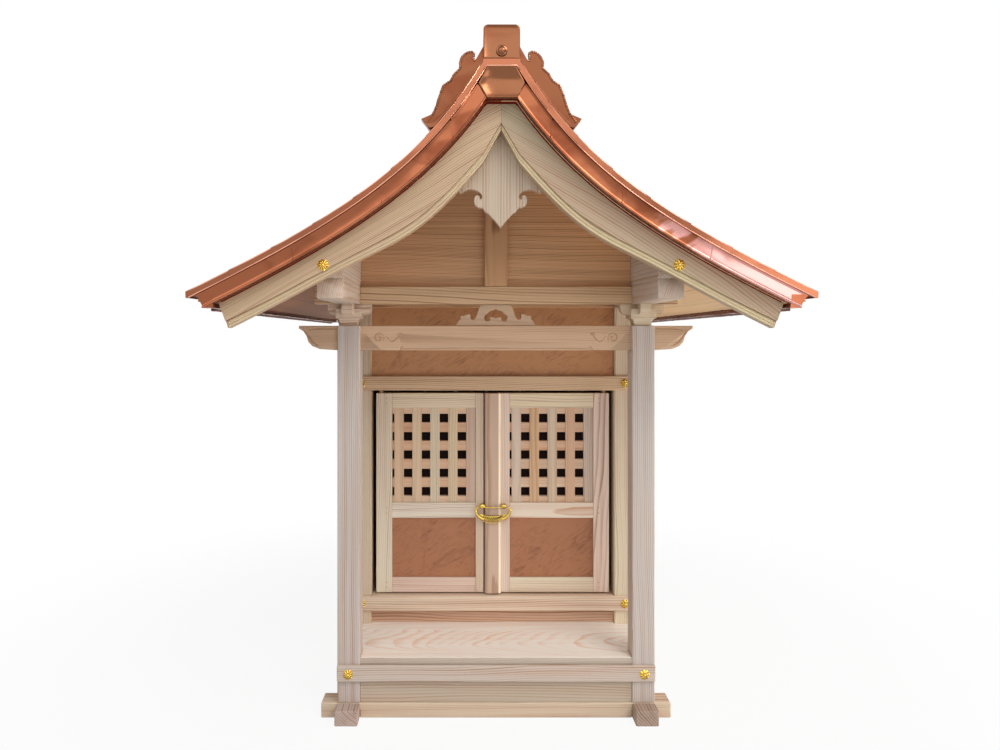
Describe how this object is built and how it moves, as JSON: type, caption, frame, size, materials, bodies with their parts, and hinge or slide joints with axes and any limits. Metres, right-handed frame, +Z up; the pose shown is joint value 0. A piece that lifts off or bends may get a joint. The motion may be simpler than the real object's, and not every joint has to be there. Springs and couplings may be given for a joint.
{
  "type": "miniature shrine",
  "caption": "Small outdoor wooden shrine with a deep gabled porch, swept copper roof and a pair of latticed doors that open.",
  "frame": {"origin": "on the ground, below the middle of the roof", "axes": "+X to the right seen from the front, +Y to the back (the doors face -Y), +Z up"},
  "size_m": [0.846, 1.006, 1.031],
  "materials": {
    "pale_timber": "planed, unpainted, straight grain",
    "pale_board": "planed, unpainted, cathedral grain",
    "figured_panel": "reddish figured veneer, satin",
    "sheet_copper": "bright rolled copper sheet, folded seams",
    "polished_brass": "polished, lightly chased"
  },
  "bodies": {
    "root": {"back_wall": "pale_board", "bargeboard_back_left": "pale_timber", "bargeboard_back_right": "pale_timber", "bargeboard_front_left": "pale_timber", "bargeboard_front_right": "pale_timber", "base_boards": "pale_board", "body_ceiling": "pale_board", "body_floor": "pale_board", "body_post_back_left": "pale_timber", "body_post_back_right": "pale_timber", "body_post_front_left": "pale_timber", "body_post_front_right": "pale_timber", "body_rail_high": "pale_timber", "body_rail_low": "pale_timber", "bracket_left": "pale_timber", "bracket_right": "pale_timber", "copper_roof_left": "sheet_copper", "copper_roof_right": "sheet_copper", "cross_sill_back": "pale_timber", "cross_sill_front": "pale_timber", "door_head_rail": "pale_timber", "door_sill_rail": "pale_timber", "frog_leg_strut": "pale_timber", "front_floor_rail": "pale_timber", "front_skirt_board": "pale_board", "gable_pendant": "pale_timber", "gable_strut": "pale_timber", "gable_wall_back": "pale_board", "gable_wall_front": "pale_board", "porch_floor": "pale_board", "porch_post_left": "pale_timber", "porch_post_right": "pale_timber", "purlin_left": "pale_timber", "purlin_right": "pale_timber", "rainbow_beam": "pale_timber", "ridge_beam": "pale_timber", "ridge_board_back": "sheet_copper", "ridge_board_front": "sheet_copper", "ridge_cover": "sheet_copper", "roof_boards_left": "pale_board", "roof_boards_right": "pale_board", "roof_edge_left": "sheet_copper", "roof_edge_right": "sheet_copper", "side_wall_left": "pale_board", "side_wall_right": "pale_board", "sill_left": "pale_timber", "sill_panel": "figured_panel", "sill_right": "pale_timber", "tie_beam": "pale_timber", "transom_panel": "figured_panel"},
    "left_door": {"left_door_frame": "pale_timber", "left_door_lattice": "pale_timber", "left_door_panel": "figured_panel"},
    "right_door": {"right_door_frame": "pale_timber", "right_door_lattice": "pale_timber", "right_door_panel": "figured_panel", "door_lock": "polished_brass"}
  },
  "joints": [
    {"name": "right_door_hinge", "type": "hinge", "parent": "root", "child": "right_door", "pos_m": [0.2033, -0.128, 0.1485], "axis": [0, 0, 1], "range_deg": [0, 85]},
    {"name": "left_door_hinge", "type": "hinge", "parent": "root", "child": "left_door", "pos_m": [-0.2033, -0.128, 0.1485], "axis": [0, 0, -1], "range_deg": [0, 85]}
  ],
  "couplings": [
    {"joint": "left_door_hinge", "follows": "right_door_hinge", "ratio": 1}
  ]
}
